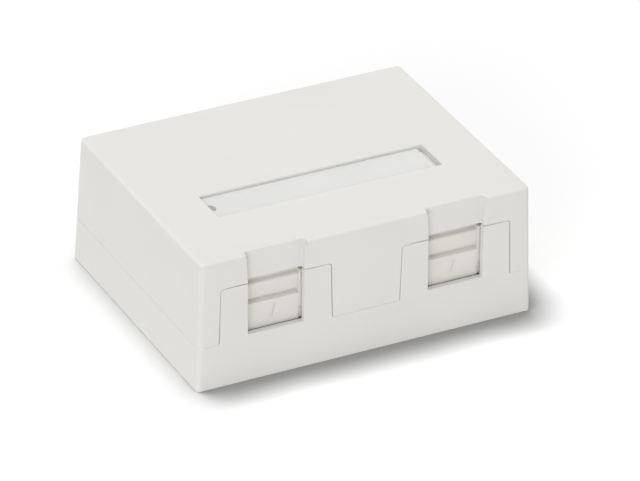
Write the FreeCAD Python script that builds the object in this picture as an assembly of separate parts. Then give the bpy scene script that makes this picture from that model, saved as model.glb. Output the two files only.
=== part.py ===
import FreeCAD, Part
import math
import os

# Two-port surface mount jack box, in millimetres. +Z is up, the plug ports face -Y, and the
# origin is the middle of the underside. A "depth" is measured back from the front face.

Vector = FreeCAD.Vector
TINY = 1e-6

# Housing
WIDTH = 80.0
DEPTH = 64.0
HEIGHT = 30.8
SIDE_LEAN = 1.0  # each side wall leans in this far by the top
BACK_LEAN = 2.3
CORNER_R = 1.2
TOP_EDGE_R = 0.7
WALL = 1.8
FRONT_WALL = 1.5
FLOOR = 1.8
ROOF = 1.8
SEAM_Z = 10.5  # where the cover stands on the base
SEAM_GAP = 0.12  # between the towers and the notches round them
LIP_H = 2.0  # locating lip inside the cover
LIP_T = 1.0
LIP_GAP = 0.15
LIP_START = 12.0  # depth at which the lip begins

# Towers and ports
END_STRIP = 5.4  # cover face outside each tower, at the seam
TOWER_W = 26.5
TOWER_TAPER = 0.35  # each side, over the tower's height
TOWER_CORNER_R = 0.7
COVER_BAND = 7.05  # cover face above the towers
OPENING_W = 13.15
SILL_RISE = 0.85
CHANNEL_DEPTH = 1.55  # finger channel above each port
CHANNEL_FLARE = 0.4

# Shutters, their guides and springs
SHUTTER_SIDE_GAP = 0.4
SHUTTER_FACE_GAP = 0.3
SHUTTER_T = 2.7
PLATE_T = 1.2
SHUTTER_LAP = 0.25  # hidden behind the sill
SHUTTER_DROP = 0.3  # plate below the top of the tower
PLUG_CLEARANCE = 0.75  # from the plug down to a fully lowered shutter
NOSE_DROP = 1.35  # nose below the top of the tower
FINGER_H = 4.95  # from the nose down to the ledge
FINGER_SLOPE = 0.8
GROOVE_H = 0.85
NOSE_ROUND = 0.5
LUG_REACH = 3.6
LUG_DROP = 0.75
MARK_L = 3.2  # slanted moulding mark on the lower panel
MARK_W = 0.55
MARK_D = 0.15
MARK_LEAN = 0.9
MARK_RISE = 3.6  # above the sill
SLIDE_GAP = 0.2
GUIDE_T = 1.2
SPRING_R = 1.3
SPRING_WIRE = 0.34
SPRING_TURNS = 5.5
SPRING_SOLID = 3.4  # length with the shutter fully down
SPRING_FACETS = 10  # straight stretches to a turn
SPIGOT_R = 0.75
SPIGOT_H = 1.4

# Plug cavity and jack modules
PLUG_W = 11.9
PLUG_H = 7.0
PLUG_L = 14.0
LATCH_W = 6.4
LATCH_NECK_W = 3.6
LATCH_H = 1.55
LATCH_SHOULDER = 1.8
JACK_W = 14.5
JACK_L = 16.0
JACK_ROOF = 2.05
JACK_SOLE = 3.3
JACK_GAP = 0.3  # behind the shutter
BOARD_T = 1.2
TAIL = 0.5  # contact tails below the board
CONTACTS = 8
CONTACT_PITCH = 1.02
CONTACT_WIRE = 0.4
CONTACT_SLOPE = 12.0  # degrees
CONTACT_BEND_R = 0.6
CONTACT_SET = 3.2  # first row of feet behind the jack's face
CONTACT_STAGGER = 1.6
BLOCK_GAP = 0.2
BLOCK_L = 15.3
BLOCK_DROP = 1.8  # wire block below the jack's top
IDC_PAIRS = 4
IDC_PITCH = 3.4
IDC_X = 4.7
IDC_W = 2.4
IDC_T = 0.5
WIRE_SLOT = 0.9
VALLEY_W = 4.4
IDC_SLIT = 0.4
BLADE_DROP = 1.4  # blades below the block's top
CAP_T = 2.2
CAP_SKIRT_T = 0.9
CAP_SKIRT_H = 3.5
FIT = 0.1  # between pieces that only locate each other

# Jack cradles in the base
CRADLE_T = 1.2
CRADLE_H = 4.1  # above the board
CRADLE_START = 8.0
RIB_T = 1.2
STOP_W = 10.0
STOP_H = 14.0

# Label pocket in the cover
LABEL_L = 53.4
LABEL_W = 9.8
LABEL_FRONT = 17.2
WINDOW_SINK = 0.65  # window below the cover's top
WINDOW_T = 0.9
CARD_T = 0.25
POCKET_FLOOR = 1.2
POCKET_RIM = 1.5
PRY_GAP = 1.3
PRY_NOTCH_R = 1.5
LABEL_PLAY = 0.15

# Cover screw and its bosses
SCREW_R = 1.45
SCREW_FIT = 0.05
SCREW_L = 16.0
HEAD_R = 2.7
HEAD_H = 1.9
HEAD_SINK = 0.2
RECESS_W = 0.7
RECESS_L = 3.0
RECESS_D = 1.1
BOSS_WALL = 1.5
BASE_BOSS_R = 3.6
BOSS_DROP = 1.45  # where the bosses meet, below the top of the towers

# Fixings and cable ways
FIXING_INSET = 9.85
FIXING_FROM_BACK = 13.0
FIXING_R = 2.1
FIXING_HEAD_R = 4.1
FIXING_RISE = 1.6
FIXING_WALL = 1.1
ENTRY_W = 22.0
ENTRY_L = 11.0
ENTRY_R = 3.0
ENTRY_FROM_BACK = 12.0
RIM_T = 1.2
RIM_H = 1.0
TIE_W = 5.0
TIE_T = 3.6
TIE_H = 4.0
TIE_HOLE_W = 1.8
TIE_HOLE_H = 2.0
TIE_SPACE = 5.0  # behind the jack's stop
SCORE_SKIN = 0.8
SCORE_W = 0.6
KNOCKOUT_W = 11.0
KNOCKOUT_TOP = 20.0

# Worked out from the values above
PORT_X = WIDTH / 2 - END_STRIP - TOWER_W / 2
TOWER_TOP = HEIGHT - COVER_BAND
SILL_Z = SEAM_Z + SILL_RISE
ROOF_Z = HEIGHT - ROOF
SHUTTER_FACE = FRONT_WALL + SHUTTER_FACE_GAP
SHUTTER_BACK = SHUTTER_FACE + SHUTTER_T
SHUTTER_TOP = TOWER_TOP - SHUTTER_DROP
SHUTTER_FOOT = SILL_Z - SHUTTER_LAP
JACK_FACE = SHUTTER_BACK + JACK_GAP
CAVITY_Z = TOWER_TOP - PLUG_H - LATCH_H
JACK_Z = CAVITY_Z - JACK_SOLE
JACK_TOP = TOWER_TOP + JACK_ROOF
TRAVEL = SHUTTER_TOP - CAVITY_Z + PLUG_CLEARANCE
LUG_X = OPENING_W / 2 + LUG_REACH
LUG_Z = FLOOR + SPRING_SOLID + TRAVEL
LUG_TOP = TOWER_TOP - LUG_DROP
GUIDE_X = LUG_X + SLIDE_GAP
GUIDE_BACK = SHUTTER_BACK + SLIDE_GAP
SPRING_X = LUG_X - SPRING_R - FIT
SPRING_DEPTH = (SHUTTER_FACE + SHUTTER_BACK) / 2
BOARD_Z = JACK_Z - BOARD_T
BLOCK_FACE = JACK_FACE + JACK_L + BLOCK_GAP
JACK_END = BLOCK_FACE + BLOCK_L
BLOCK_TOP = JACK_TOP - BLOCK_DROP
POCKET_DEPTH = WINDOW_SINK + WINDOW_T + CARD_T
POCKET_Z = HEIGHT - POCKET_DEPTH
SCREW_DEPTH = LABEL_FRONT + LABEL_W / 2
BOSS_MEET = TOWER_TOP - BOSS_DROP
HEAD_TOP = POCKET_Z - HEAD_SINK
FIXING_X = WIDTH / 2 - FIXING_INSET
FIXING_DEPTH = DEPTH - FIXING_FROM_BACK
ENTRY_DEPTH = DEPTH - ENTRY_FROM_BACK
BLADE_Z = JACK_Z + TAIL
BLADE_TOP = BLOCK_TOP - BLADE_DROP


# Shape helpers

def block(x0, x1, depth0, depth1, z0, z1):
    """Upright box between two x values, two depths and two heights."""
    corner = Vector(x0, depth0 - DEPTH / 2, z0)
    return Part.makeBox(x1 - x0, depth1 - depth0, z1 - z0, corner)


def post(x, depth, r, z0, z1):
    """Upright cylinder."""
    return Part.makeCylinder(r, z1 - z0, Vector(x, depth - DEPTH / 2, z0))


def outline(corners, place):
    """Closed wire through (u, v, radius) corners; place turns u, v into a point."""
    turns = []
    for k, (u, v, radius) in enumerate(corners):
        here = Vector(u, v, 0)
        back = (Vector(*corners[k - 1][:2], 0) - here).normalize()
        onward = (Vector(*corners[(k + 1) % len(corners)][:2], 0) - here).normalize()
        half = back.getAngle(onward) / 2
        reach = radius / math.tan(half) if radius else 0
        crown = (back + onward).normalize() * (radius / math.sin(half) - radius) if radius else Vector()
        turns.append([here + back * reach, here + crown, here + onward * reach])
    edges = []
    for k, (start, middle, end) in enumerate(turns):
        following = turns[(k + 1) % len(turns)][0]
        if (end - start).Length > TINY:
            edges.append(Part.Arc(*[place(p.x, p.y) for p in (start, middle, end)]).toShape())
        if (following - end).Length > TINY:
            edges.append(Part.makeLine(place(end.x, end.y), place(following.x, following.y)))
    return Part.Wire(edges)


def front_prism(corners, depth0, depth1):
    """Solid from an outline of (x, z, radius) corners seen from the front."""
    wire = outline(corners, lambda x, z: Vector(x, depth0 - DEPTH / 2, z))
    return Part.Face(wire).extrude(Vector(0, depth1 - depth0, 0))


def side_prism(corners, x0, x1):
    """Solid from an outline of (depth, z, radius) corners seen from the side."""
    wire = outline(corners, lambda depth, z: Vector(x0, depth - DEPTH / 2, z))
    return Part.Face(wire).extrude(Vector(x1 - x0, 0, 0))


def plan_prism(corners, z0, z1):
    """Solid from an outline of (x, depth, radius) corners seen from above."""
    wire = outline(corners, lambda x, depth: Vector(x, depth - DEPTH / 2, z0))
    return Part.Face(wire).extrude(Vector(0, 0, z1 - z0))


def rectangle(u0, u1, v0, v1, radius=0.0):
    return [(u0, v0, radius), (u1, v0, radius), (u1, v1, radius), (u0, v1, radius)]


def span(x, side, near, far):
    """The x range from near to far on one side of x, in rising order."""
    return sorted((x + side * near, x + side * far))


def joined(first, *others):
    return first.multiFuse(list(others)).removeSplitter()


def group(solids):
    return Part.makeCompound(solids)


# Housing forms shared by the base and the cover

def hull(z0, z1, inset=0.0, front_inset=None):
    """Leaning outer form of the housing between two heights, moved in by the insets."""
    front = inset if front_inset is None else front_inset
    sections = []
    for z in (z0, z1):
        lean = z / HEIGHT
        x = WIDTH / 2 - SIDE_LEAN * lean - inset
        back = DEPTH - BACK_LEAN * lean - inset
        radius = max(CORNER_R - inset, 0.3)
        sections.append(outline(rectangle(-x, x, front, back, radius),
                                lambda u, v, z=z: Vector(u, v - DEPTH / 2, z)))
    return Part.makeLoft(sections, True, True)


def ring(z0, z1, outer, inner):
    """Band of the housing wall between two insets."""
    return hull(z0, z1, outer).cut(hull(z0 - 1, z1 + 1, inner))


def tower_outline(x, grow):
    """Front view of a tower: tapered, with its two upper corners rounded."""
    foot = SEAM_Z - 1
    slope = TOWER_TAPER / (TOWER_TOP - SEAM_Z)
    low = TOWER_W / 2 + slope + grow
    high = TOWER_W / 2 - TOWER_TAPER + grow
    top = TOWER_TOP + grow
    radius = TOWER_CORNER_R + grow
    return [(x - low, foot, 0), (x + low, foot, 0), (x + high, top, radius), (x - high, top, radius)]


def knockout_scores(z0, top):
    """Grooves inside the back and side walls, down to a skin that breaks out."""
    half, edge = KNOCKOUT_W / 2, SCORE_W / 2
    panels = [(x - half, x + half, DEPTH / 2, 2 * DEPTH) for x in (-PORT_X, PORT_X)]
    panels += [(*span(0, side, PORT_X, WIDTH), FIXING_DEPTH - half, FIXING_DEPTH + half) for side in (-1, 1)]
    frames = []
    for x0, x1, depth0, depth1 in panels:
        frame = block(x0 - edge, x1 + edge, depth0 - edge, depth1 + edge, z0, top + edge)
        panel = block(x0 + edge, x1 - edge, depth0 + edge, depth1 - edge, z0 - 1, top - edge)
        frames.append(frame.cut(panel))
    return group(frames).common(ring(z0 - 1, top + 1, SCORE_SKIN, WALL + LIP_GAP + LIP_T + 1))


# Base

def locating_lip():
    """Lip inside the cover's side and back walls, with a foot that joins the base's wall."""
    inner = WALL + LIP_GAP + LIP_T
    foot = ring(SEAM_Z - LIP_H, SEAM_Z, WALL - 0.3, inner)
    lip = ring(SEAM_Z - LIP_H / 2, SEAM_Z + LIP_H, WALL + LIP_GAP, inner)
    band = foot.fuse(lip)
    half = KNOCKOUT_W / 2 + SCORE_W
    gaps = [block(-WIDTH, WIDTH, -1, LIP_START, 0, HEIGHT)]
    gaps += [block(x - half, x + half, DEPTH / 2, DEPTH, 0, HEIGHT) for x in (-PORT_X, PORT_X)]
    gaps += [block(*span(0, side, PORT_X, WIDTH), FIXING_DEPTH - half, FIXING_DEPTH + half, 0, HEIGHT)
             for side in (-1, 1)]
    return band.cut(group(gaps))


def tower(x):
    """Front plate that frames one port, open at the top, with a guide behind each post."""
    plate = front_prism(tower_outline(x, 0), 0, FRONT_WALL)
    half = OPENING_W / 2
    plate = plate.cut(block(x - half, x + half, -1, FRONT_WALL + 1, SILL_Z, HEIGHT))
    guides = []
    for side in (-1, 1):
        outside = GUIDE_X + GUIDE_T
        wall = block(*span(x, side, GUIDE_X, outside), FRONT_WALL / 2, GUIDE_BACK + GUIDE_T,
                     FLOOR / 2, TOWER_TOP - SEAM_GAP)
        rear = block(*span(x, side, JACK_W / 2 + SLIDE_GAP, outside), GUIDE_BACK, GUIDE_BACK + GUIDE_T,
                     FLOOR / 2, LUG_TOP)
        peg = post(x + side * SPRING_X, SPRING_DEPTH, SPIGOT_R, FLOOR / 2, FLOOR + SPIGOT_H)
        guides += [wall, rear, peg]
    return plate.multiFuse(guides)


def cradle(x):
    """Side walls, cross ribs and rear stop that hold one jack module."""
    half = JACK_W / 2 + SLIDE_GAP
    end = JACK_END - RIB_T
    top = JACK_Z + CRADLE_H
    parts = []
    for side in (-1, 1):
        parts.append(block(*span(x, side, half, half + CRADLE_T), CRADLE_START, end, FLOOR / 2, top))
    first = JACK_FACE + CONTACT_SET + 2 * CONTACT_STAGGER + RIB_T
    last = idc_depths()[-1] - IDC_PITCH / 2 - RIB_T / 2
    for depth in (first, last):
        parts.append(block(x - half, x + half, depth, depth + RIB_T, FLOOR / 2, BOARD_Z))
    stop = JACK_END + FIT
    parts.append(block(x - STOP_W / 2, x + STOP_W / 2, stop, stop + RIB_T, FLOOR / 2, STOP_H))
    return parts[0].multiFuse(parts[1:])


def tie_anchor(x):
    """Bridge on the floor that a cable tie passes under."""
    depth = JACK_END + TIE_SPACE
    bridge = block(x - TIE_W / 2, x + TIE_W / 2, depth, depth + TIE_T, FLOOR / 2, FLOOR + TIE_H)
    middle = depth + TIE_T / 2
    tunnel = block(x - TIE_W, x + TIE_W, middle - TIE_HOLE_W / 2, middle + TIE_HOLE_W / 2,
                   FLOOR, FLOOR + TIE_HOLE_H)
    return bridge.cut(tunnel)


def entry_outline(grow):
    half = ENTRY_W / 2 + grow
    front, back = ENTRY_DEPTH - ENTRY_L / 2 - grow, ENTRY_DEPTH + ENTRY_L / 2 + grow
    return rectangle(-half, half, front, back, ENTRY_R + grow)


def base():
    tray = hull(0, SEAM_Z).cut(hull(FLOOR, SEAM_Z + 1, WALL, FRONT_WALL))
    additions = [locating_lip(), tower(-PORT_X), tower(PORT_X), cradle(-PORT_X), cradle(PORT_X)]
    additions += [tie_anchor(-PORT_X), tie_anchor(PORT_X)]
    additions.append(post(0, SCREW_DEPTH, BASE_BOSS_R, FLOOR / 2, BOSS_MEET))
    additions.append(plan_prism(entry_outline(RIM_T), FLOOR / 2, FLOOR + RIM_H))
    for x in (-FIXING_X, FIXING_X):
        additions.append(post(x, FIXING_DEPTH, FIXING_HEAD_R + FIXING_WALL, FLOOR / 2, FLOOR + FIXING_RISE))
    removals = [plan_prism(entry_outline(0), -1, FLOOR + RIM_H + 1)]
    screw_tip = HEAD_TOP - HEAD_H - SCREW_L
    removals.append(post(0, SCREW_DEPTH, SCREW_R + SCREW_FIT, screw_tip - 1, BOSS_MEET + 1))
    for x in (-FIXING_X, FIXING_X):
        removals.append(post(x, FIXING_DEPTH, FIXING_R, -1, HEIGHT))
        removals.append(post(x, FIXING_DEPTH, FIXING_HEAD_R, FLOOR, HEIGHT))
    removals.append(knockout_scores(FLOOR, SEAM_Z + 1))
    return joined(tray, *additions).cut(group(removals)).removeSplitter()


# Cover

def cover_shell():
    """Lid with rounded top edges, notched round the towers."""
    outer = hull(SEAM_Z, HEIGHT)
    top_edges = [e for e in outer.Edges if all(abs(v.Z - HEIGHT) < TINY for v in e.Vertexes)]
    outer = outer.makeFillet(min(TOP_EDGE_R, ROOF / 2), top_edges)
    shell = outer.cut(hull(SEAM_Z - 1, ROOF_Z, WALL, FRONT_WALL))
    notches = [front_prism(tower_outline(x, SEAM_GAP), -1, FRONT_WALL + 1) for x in (-PORT_X, PORT_X)]
    return shell.cut(group(notches))


def channel_outline(x, grow):
    low = OPENING_W / 2 + grow
    high = low + CHANNEL_FLARE
    return [(x - low, TOWER_TOP, 0), (x + low, TOWER_TOP, 0), (x + high, HEIGHT, 0), (x - high, HEIGHT, 0)]


def channel_wall(x):
    """Wall behind one finger channel, thick enough to end the shutter's rise."""
    return block(x - LUG_X, x + LUG_X, FRONT_WALL / 2, SHUTTER_BACK, TOWER_TOP + SEAM_GAP, ROOF_Z + ROOF / 2)


def jack_hold_downs(x):
    """Ribs that keep one jack module on its cradle."""
    first = JACK_FACE + JACK_L / 4
    return [block(x - JACK_W / 2 + 1, x + JACK_W / 2 - 1, depth, depth + RIB_T, JACK_TOP + FIT,
                  ROOF_Z + ROOF / 2) for depth in (first, first + JACK_L / 3)]


def label_tray():
    """Thicker roof under the label pocket."""
    half = LABEL_L / 2 + POCKET_RIM
    return block(-half, half, LABEL_FRONT - POCKET_RIM, LABEL_FRONT + LABEL_W + POCKET_RIM,
                 POCKET_Z - POCKET_FLOOR, HEIGHT - ROOF / 2)


def cover():
    boss_r = HEAD_R + SLIDE_GAP + BOSS_WALL
    additions = [label_tray(), post(0, SCREW_DEPTH, boss_r, BOSS_MEET + FIT, POCKET_Z)]
    for x in (-PORT_X, PORT_X):
        additions += [channel_wall(x)] + jack_hold_downs(x)
    removals = [front_prism(channel_outline(x, 0), -1, CHANNEL_DEPTH) for x in (-PORT_X, PORT_X)]
    half = LABEL_L / 2
    removals.append(block(-half, half, LABEL_FRONT, LABEL_FRONT + LABEL_W, POCKET_Z, HEIGHT + 1))
    removals.append(post(0, SCREW_DEPTH, HEAD_R + SLIDE_GAP, HEAD_TOP - HEAD_H, HEIGHT))
    removals.append(post(0, SCREW_DEPTH, SCREW_R + SLIDE_GAP, BOSS_MEET - 1, HEIGHT))
    removals.append(knockout_scores(SEAM_Z - 1, min(KNOCKOUT_TOP, ROOF_Z - 2)))
    return joined(cover_shell(), *additions).cut(group(removals)).removeSplitter()


def label_window():
    half = LABEL_L / 2
    front, back = LABEL_FRONT + LABEL_PLAY, LABEL_FRONT + LABEL_W - LABEL_PLAY
    z0 = POCKET_Z + CARD_T
    strip = block(-half + LABEL_PLAY, half - PRY_GAP, front, back, z0, z0 + WINDOW_T)
    return strip.cut(post(-half + LABEL_PLAY, SCREW_DEPTH, PRY_NOTCH_R, z0 - 1, z0 + WINDOW_T + 1))


def label_card():
    half = LABEL_L / 2
    play = 2 * LABEL_PLAY
    return block(-half + play, half - PRY_GAP - LABEL_PLAY, LABEL_FRONT + play,
                 LABEL_FRONT + LABEL_W - play, POCKET_Z, POCKET_Z + CARD_T)


def cover_screw():
    """Pan-head screw with a bevelled rim, a cross recess and a blunt tip; the thread is left plain."""
    y = SCREW_DEPTH
    seat = HEAD_TOP - HEAD_H
    tip = seat - SCREW_L
    body = joined(post(0, y, HEAD_R, seat, HEAD_TOP), post(0, y, SCREW_R, tip, seat + HEAD_H / 2))
    body = body.makeChamfer(HEAD_H / 3, [e for e in body.Edges if e.BoundBox.ZMin > HEAD_TOP - TINY])
    body = body.makeChamfer(SCREW_R / 3, [e for e in body.Edges if e.BoundBox.ZMax < tip + TINY])
    along, across = RECESS_L / 2, RECESS_W / 2
    cross = block(-along, along, y - across, y + across, HEAD_TOP - RECESS_D, HEAD_TOP + 1)
    cross = cross.fuse(block(-across, across, y - along, y + along, HEAD_TOP - RECESS_D, HEAD_TOP + 1))
    return body.cut(cross)


# Shutters and springs

def shutter_profile():
    """Side view: flat lower panel, ledge and groove for a finger, sloping upper face, nose, back plate."""
    nose_top = TOWER_TOP - NOSE_DROP
    ledge = nose_top - FINGER_H
    plate = SHUTTER_BACK - PLATE_T
    nose_front = SHUTTER_FACE + FIT
    return [
        (SHUTTER_BACK, SHUTTER_FOOT, 0),
        (SHUTTER_BACK, SHUTTER_TOP, 0),
        (plate, SHUTTER_TOP, 0),
        (plate, nose_top, 0),
        (nose_front, nose_top - NOSE_ROUND / 2, NOSE_ROUND),
        (nose_front + FINGER_SLOPE, ledge + GROOVE_H, NOSE_ROUND),
        (plate, ledge + FIT, 0),
        (SHUTTER_FACE, ledge, FIT),
        (SHUTTER_FACE, SHUTTER_FOOT, 0),
    ]


def panel_mark(x):
    """Shallow slanted groove with round ends, to be cut in a shutter's lower panel."""
    z0 = SILL_Z + MARK_RISE - MARK_L / 2
    lean, half, end = MARK_LEAN / 2, MARK_W / 2, 0.45 * MARK_W
    corners = [(x - lean - half, z0, end), (x - lean + half, z0, end),
               (x + lean + half, z0 + MARK_L, end), (x + lean - half, z0 + MARK_L, end)]
    return front_prism(corners, 0, SHUTTER_FACE + MARK_D)


def shutter(x):
    """Sliding dust door with a lug each side that runs in the tower's guides."""
    half = OPENING_W / 2 - SHUTTER_SIDE_GAP
    door = side_prism(shutter_profile(), x - half, x + half).cut(panel_mark(x))
    parts = []
    for side in (-1, 1):
        parts.append(block(*span(x, side, half, LUG_X), SHUTTER_FACE, SHUTTER_BACK, LUG_Z, LUG_TOP))
        parts.append(post(x + side * SPRING_X, SPRING_DEPTH, SPIGOT_R, LUG_Z - SPIGOT_H, LUG_Z + 1))
    return joined(door, *parts)


def spring_section(x, angle, z):
    """Square section of the wire at one place on the coil."""
    centre = Vector(x, SPRING_DEPTH - DEPTH / 2, z)
    half = SPRING_WIRE / 2
    mean = SPRING_R - half
    out = Vector(math.cos(angle), math.sin(angle), 0)
    points = [centre + out * (mean + a * half) + Vector(0, 0, b * half)
              for a, b in ((-1, -1), (1, -1), (1, 1), (-1, 1))]
    return Part.makePolygon(points + points[:1])


def shutter_spring(x):
    """Coil between the floor and a lug, at its fitted length."""
    steps = int(SPRING_TURNS * SPRING_FACETS)
    length = LUG_Z - FLOOR - SPRING_WIRE
    sections = []
    for k in range(steps + 1):
        angle = 2 * math.pi * k / SPRING_FACETS
        sections.append(spring_section(x, angle, FLOOR + SPRING_WIRE / 2 + length * k / steps))
    return Part.makeLoft(sections, True, True)


# Jack modules

def idc_depths():
    """Depths of the wire slots along the wire block."""
    first = BLOCK_FACE + (BLOCK_L - IDC_PITCH * (IDC_PAIRS - 1)) / 2
    return [first + IDC_PITCH * k for k in range(IDC_PAIRS)]


def contact_places(x):
    """x and depth of each contact's foot, in two staggered rows."""
    first = x - CONTACT_PITCH * (CONTACTS - 1) / 2
    return [(first + CONTACT_PITCH * k, JACK_FACE + CONTACT_SET + CONTACT_STAGGER * (k % 2))
            for k in range(CONTACTS)]


def jack_body(x):
    """Housing with the plug cavity, its latch step and shoulders, and a window for the contacts."""
    half = JACK_W / 2
    face, top = JACK_FACE, CAVITY_Z + PLUG_H
    body = block(x - half, x + half, face, face + JACK_L, JACK_Z, JACK_TOP)
    cuts = [block(x - PLUG_W / 2, x + PLUG_W / 2, face - 1, face + PLUG_L, CAVITY_Z, top)]
    shoulder = face + LATCH_SHOULDER
    latch_end = face + PLUG_L / 2 + LATCH_SHOULDER
    cuts.append(block(x - LATCH_W / 2, x + LATCH_W / 2, face - 1, latch_end, top - 1, top + LATCH_H / 2))
    cuts.append(block(x - LATCH_NECK_W / 2, x + LATCH_NECK_W / 2, face - 1, latch_end, top, top + LATCH_H))
    cuts.append(block(x - LATCH_W / 2, x + LATCH_W / 2, shoulder, latch_end, top, top + LATCH_H))
    comb = CONTACT_PITCH * CONTACTS / 2 + FIT
    feet = face + CONTACT_SET
    cuts.append(block(x - comb, x + comb, feet - 1, feet + 2 * CONTACT_STAGGER + 1, JACK_Z - 1, CAVITY_Z + 1))
    return body.cut(group(cuts)).removeSplitter()


def jack_contacts(x):
    """Eight contact springs: foot through the board, a bend, and a blade that rises to the back."""
    slope = math.radians(CONTACT_SLOPE)
    half = CONTACT_WIRE / 2
    rise, run = half / math.cos(slope), math.tan(slope)
    wires = []
    for place, depth in contact_places(x):
        bend_z = CAVITY_Z - half + (depth - JACK_FACE - CONTACT_SET) * run
        tip = JACK_FACE + PLUG_L - 1
        tip_z = bend_z + (tip - depth) * run
        profile = [
            (depth - half, BOARD_Z - TAIL, 0),
            (depth + half, BOARD_Z - TAIL, 0),
            (depth + half, bend_z - rise + half * run, CONTACT_BEND_R),
            (tip, tip_z - rise, 0),
            (tip, tip_z + rise, 0),
            (depth - half, bend_z + rise - half * run, CONTACT_BEND_R + CONTACT_WIRE),
        ]
        wires.append(side_prism(profile, place - half, place + half))
    return group(wires)


def jack_board(x):
    half = JACK_W / 2
    board = block(x - half, x + half, JACK_FACE + 1, JACK_END, BOARD_Z, JACK_Z)
    size = CONTACT_WIRE / 2 + FIT
    holes = [block(place - size, place + size, depth - size, depth + size, BOARD_Z - 1, JACK_Z + 1)
             for place, depth in contact_places(x)]
    across, along = IDC_T / 2 + FIT, TAIL + FIT
    for row in (x - IDC_X, x + IDC_X):
        for depth in idc_depths():
            holes.append(block(row - across, row + across, depth - along, depth + along,
                               BOARD_Z - 1, JACK_Z + 1))
    return board.cut(group(holes))


def idc_block(x):
    """Two rows of towers with a slot for each wire and a pocket for each blade."""
    half = JACK_W / 2
    body = block(x - half, x + half, BLOCK_FACE, JACK_END, JACK_Z, BLOCK_TOP)
    slot_z = JACK_Z + (BLOCK_TOP - JACK_Z) / 2
    cuts = [block(x - VALLEY_W / 2, x + VALLEY_W / 2, BLOCK_FACE - 1, JACK_END + 1, slot_z, HEIGHT)]
    across, along = IDC_T / 2 + FIT, IDC_W / 2 + FIT
    for depth in idc_depths():
        cuts.append(block(x - half - 1, x + half + 1, depth - WIRE_SLOT / 2, depth + WIRE_SLOT / 2,
                          slot_z, HEIGHT))
        for row in (x - IDC_X, x + IDC_X):
            cuts.append(block(row - across, row + across, depth - along, depth + along, JACK_Z - 1, HEIGHT))
    return body.cut(group(cuts)).removeSplitter()


def idc_contacts(x):
    """Forked blades that cut into the wires, with a tail through the board."""
    slit, arm, tail = IDC_SLIT / 2, IDC_W / 2, TAIL
    slit_z = BLADE_Z + (BLADE_TOP - BLADE_Z) / 2
    blades = []
    for row in (x - IDC_X, x + IDC_X):
        for d in idc_depths():
            fork = [
                (d - tail, BOARD_Z - TAIL, 0), (d + tail, BOARD_Z - TAIL, 0), (d + tail, BLADE_Z, 0),
                (d + arm, BLADE_Z, 0), (d + arm, BLADE_TOP - arm / 2, 0), (d + arm / 2, BLADE_TOP, 0),
                (d + slit, BLADE_TOP - arm, 0), (d + slit, slit_z, 0), (d - slit, slit_z, 0),
                (d - slit, BLADE_TOP - arm, 0), (d - arm / 2, BLADE_TOP, 0),
                (d - arm, BLADE_TOP - arm / 2, 0), (d - arm, BLADE_Z, 0), (d - tail, BLADE_Z, 0),
            ]
            blades.append(side_prism(fork, row - IDC_T / 2, row + IDC_T / 2))
    return group(blades)


def wire_cap(x):
    """Cap pressed over the wire block, with a skirt down each side."""
    half = JACK_W / 2 + FIT
    outer = half + CAP_SKIRT_T
    cap = block(x - outer, x + outer, BLOCK_FACE, JACK_END, BLOCK_TOP - CAP_SKIRT_H, BLOCK_TOP + CAP_T)
    return cap.cut(block(x - half, x + half, BLOCK_FACE - 1, JACK_END + 1, 0, BLOCK_TOP))


def pieces():
    """Every node's name and shape."""
    made = {
        "base": base(),
        "cover": cover(),
        "cover_screw": cover_screw(),
        "label_window": label_window(),
        "label_card": label_card(),
    }
    for name, side in (("left", -1), ("right", 1)):
        x = side * PORT_X
        made[name + "_shutter"] = shutter(x)
        made[name + "_outer_spring"] = shutter_spring(x + side * SPRING_X)
        made[name + "_inner_spring"] = shutter_spring(x - side * SPRING_X)
        made[name + "_jack_body"] = jack_body(x)
        made[name + "_jack_contacts"] = jack_contacts(x)
        made[name + "_jack_board"] = jack_board(x)
        made[name + "_idc_block"] = idc_block(x)
        made[name + "_idc_contacts"] = idc_contacts(x)
        made[name + "_wire_cap"] = wire_cap(x)
    return made


os.makedirs("parts", exist_ok=True)
for node, shape in pieces().items():
    shape.exportStep(os.path.join("parts", node + ".step"))
print("shutter travel", round(TRAVEL, 3), "mm; spring seat z", FLOOR, "mm; fixing spacing", 2 * FIXING_X)
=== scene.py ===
import math

import bmesh
import bpy
import numpy as np
from bpy.props import FloatProperty, FloatVectorProperty, PointerProperty
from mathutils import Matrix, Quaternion, Vector


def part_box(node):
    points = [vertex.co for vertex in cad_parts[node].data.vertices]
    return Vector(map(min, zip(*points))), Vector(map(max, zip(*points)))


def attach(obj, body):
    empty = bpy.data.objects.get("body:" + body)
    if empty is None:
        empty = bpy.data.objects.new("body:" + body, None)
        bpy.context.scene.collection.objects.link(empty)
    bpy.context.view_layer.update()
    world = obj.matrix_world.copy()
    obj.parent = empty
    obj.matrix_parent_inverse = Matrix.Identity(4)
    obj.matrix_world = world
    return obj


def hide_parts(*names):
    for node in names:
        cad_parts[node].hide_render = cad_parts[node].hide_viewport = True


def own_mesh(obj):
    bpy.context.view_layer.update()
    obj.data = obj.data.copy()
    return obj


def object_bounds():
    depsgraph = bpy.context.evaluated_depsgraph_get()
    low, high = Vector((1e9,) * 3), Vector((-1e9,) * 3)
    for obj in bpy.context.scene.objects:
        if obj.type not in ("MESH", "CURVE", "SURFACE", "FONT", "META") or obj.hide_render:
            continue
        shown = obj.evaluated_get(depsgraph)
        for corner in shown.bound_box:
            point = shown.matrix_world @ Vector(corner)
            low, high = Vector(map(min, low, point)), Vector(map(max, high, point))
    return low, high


bl_info = {
    "name": "Surface Jack Box",
    "version": (1, 0, 0),
    "blender": (4, 5, 0),
    "location": "3D View > Sidebar > Jack Box",
    "description": "Builds the finished pieces of a two-port surface mount jack box",
    "category": "Add Mesh",
}

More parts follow.
